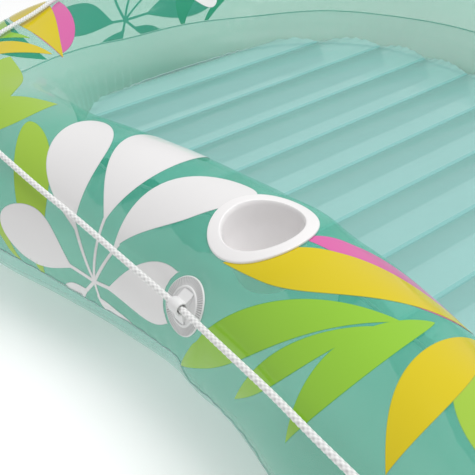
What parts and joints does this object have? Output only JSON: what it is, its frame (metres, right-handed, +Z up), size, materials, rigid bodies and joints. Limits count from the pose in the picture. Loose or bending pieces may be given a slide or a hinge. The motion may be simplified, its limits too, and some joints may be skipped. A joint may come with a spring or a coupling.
{
  "type": "inflatable pool float",
  "caption": "Waisted inflatable lounge float: an air ring round a ribbed air floor, with sunk cup holders, a grab rope through welded eyelets, and push-in air valves.",
  "frame": {"origin": "on the ground, under the middle of the float's outline", "axes": "+X along the float from the head end to the wider foot end, +Y across it along the floor's ribs, +Z up"},
  "size_m": [1.947, 1.4324, 0.25],
  "materials": {
    "printed_vinyl": "glossy translucent vinyl with a printed leaf pattern",
    "plain_vinyl": "glossy translucent vinyl, unprinted",
    "floor_vinyl": "semi-gloss translucent vinyl",
    "white_vinyl": "smooth moulded white vinyl",
    "rope_fibre": "braided polyester rope",
    "valve_vinyl": "soft clear moulded vinyl"
  },
  "bodies": {
    "root": {"ring_upper_skin_head": "printed_vinyl", "ring_upper_skin_foot": "printed_vinyl", "ring_upper_skin_left_cup": "printed_vinyl", "ring_upper_skin_right_cup": "printed_vinyl", "ring_lower_skin": "plain_vinyl", "floor_top_sheet": "floor_vinyl", "floor_bottom_sheet": "floor_vinyl", "floor_web_01": "floor_vinyl", "floor_web_02": "floor_vinyl", "floor_web_03": "floor_vinyl", "floor_web_04": "floor_vinyl", "floor_web_05": "floor_vinyl", "floor_web_06": "floor_vinyl", "floor_web_07": "floor_vinyl", "floor_web_08": "floor_vinyl", "floor_web_09": "floor_vinyl", "floor_web_10": "floor_vinyl", "floor_web_11": "floor_vinyl", "floor_web_12": "floor_vinyl", "floor_web_13": "floor_vinyl", "floor_web_14": "floor_vinyl", "left_cup_holder": "white_vinyl", "right_cup_holder": "white_vinyl", "rope_eyelet_01": "white_vinyl", "rope_eyelet_02": "white_vinyl", "rope_eyelet_03": "white_vinyl", "rope_eyelet_04": "white_vinyl", "rope_eyelet_05": "white_vinyl", "rope_eyelet_06": "white_vinyl", "rope_eyelet_07": "white_vinyl", "rope_eyelet_08": "white_vinyl", "rope_eyelet_09": "white_vinyl", "rope_eyelet_10": "white_vinyl", "grab_rope": "rope_fibre", "rope_knot": "rope_fibre", "ring_valve_seat": "valve_vinyl", "floor_valve_seat": "valve_vinyl"},
    "ring_stem": {"ring_valve_stem": "valve_vinyl"},
    "ring_plug": {"ring_valve_plug": "valve_vinyl"},
    "ring_flap": {"ring_valve_flap": "valve_vinyl"},
    "floor_stem": {"floor_valve_stem": "valve_vinyl"},
    "floor_plug": {"floor_valve_plug": "valve_vinyl"},
    "floor_flap": {"floor_valve_flap": "valve_vinyl"}
  },
  "joints": [
    {"name": "ring_valve_slide", "type": "slide", "parent": "root", "child": "ring_stem", "axis": [0, 0, 1], "range_m": [0, 0.014]},
    {"name": "ring_plug_hinge", "type": "hinge", "parent": "ring_stem", "child": "ring_plug", "pos_m": [0.8437, 0.2232, 0.24377], "axis": [-0.9947, -0.1026, 0], "range_deg": [0, 140]},
    {"name": "ring_flap_hinge", "type": "hinge", "parent": "ring_stem", "child": "ring_flap", "pos_m": [0.84594, 0.20152, 0.22132], "axis": [-0.9947, -0.1026, 0], "range_deg": [0, 50], "stiffness_Nm_per_rad": 0.002},
    {"name": "floor_valve_slide", "type": "slide", "parent": "root", "child": "floor_stem", "axis": [0, 0, 1], "range_m": [0, 0.014]},
    {"name": "floor_plug_hinge", "type": "hinge", "parent": "floor_stem", "child": "floor_plug", "pos_m": [0.606, 0.1336, 0.12325], "axis": [-1, 0, 0], "range_deg": [0, 140]},
    {"name": "floor_flap_hinge", "type": "hinge", "parent": "floor_stem", "child": "floor_flap", "pos_m": [0.606, 0.1118, 0.1008], "axis": [-1, 0, 0], "range_deg": [0, 50], "stiffness_Nm_per_rad": 0.002}
  ]
}
